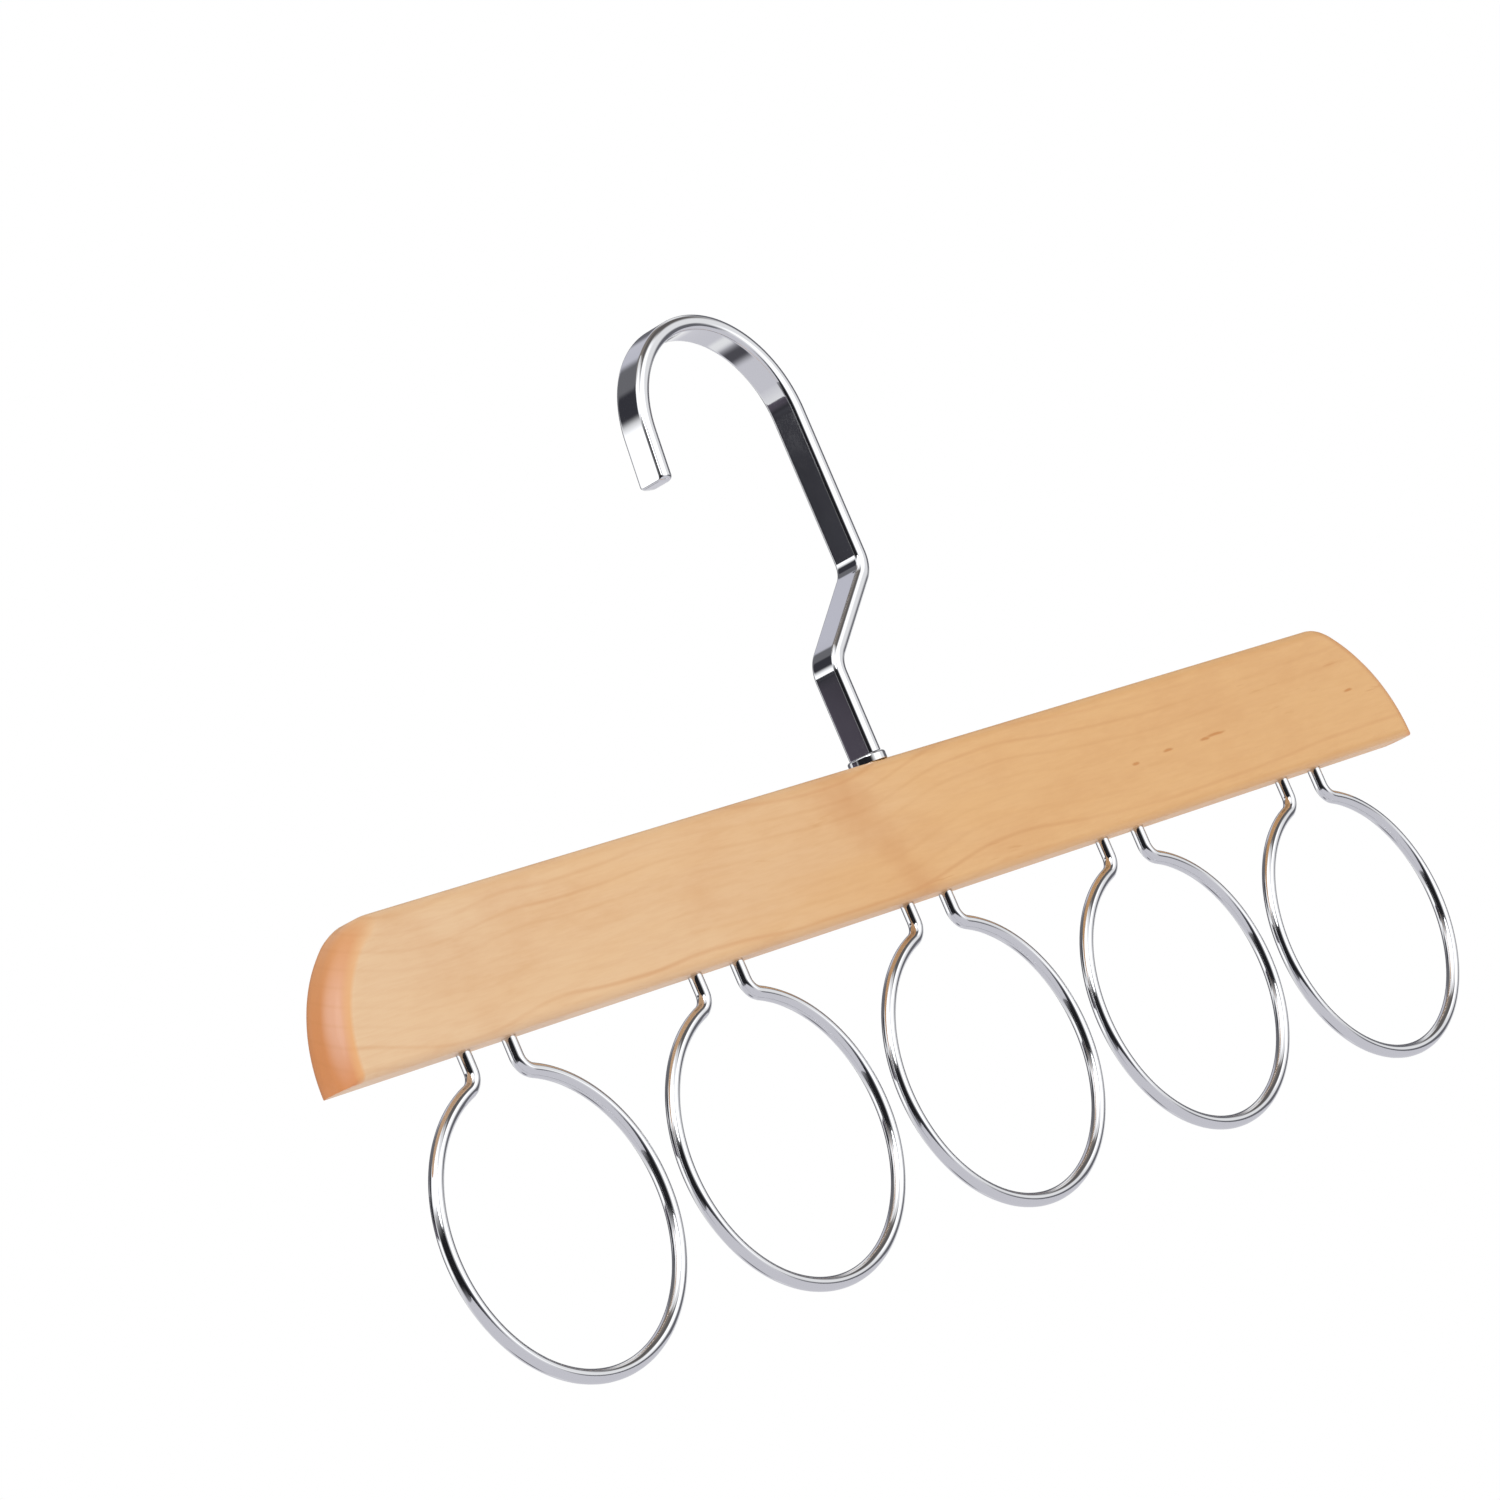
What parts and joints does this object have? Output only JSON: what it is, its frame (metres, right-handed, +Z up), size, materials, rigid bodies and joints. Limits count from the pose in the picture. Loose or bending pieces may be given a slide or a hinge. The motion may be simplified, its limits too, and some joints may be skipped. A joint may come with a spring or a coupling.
{
  "type": "scarf hanger",
  "caption": "Wooden scarf hanger: flat board with quarter-round ends, swivelling flat metal hook on top and a row of open wire rings below.",
  "frame": {"origin": "centre of the hook's inner arc, where a round rail lies", "axes": "+X along the board towards the hook's riser, +Y through the board away from its front face, +Z up"},
  "size_m": [0.387, 0.012, 0.215],
  "materials": {
    "wood": "satin lacquer over pale maple",
    "chrome": "polished chrome plate",
    "hook_chrome": "polished chrome plate",
    "zinc_steel": "zinc plated"
  },
  "bodies": {
    "hook": {"swivel_hook": "hook_chrome", "swivel_washer": "zinc_steel"},
    "hanger": {"crossbar": "wood", "hook_ferrule": "chrome", "ring_1": "chrome", "ring_2": "chrome", "ring_3": "chrome", "ring_4": "chrome", "ring_5": "chrome"}
  },
  "joints": [
    {"name": "hook_swivel", "type": "hinge", "parent": "hook", "child": "hanger", "pos_m": [0.0027, 0, -0.082], "axis": [0, 0, 1], "continuous": true}
  ]
}
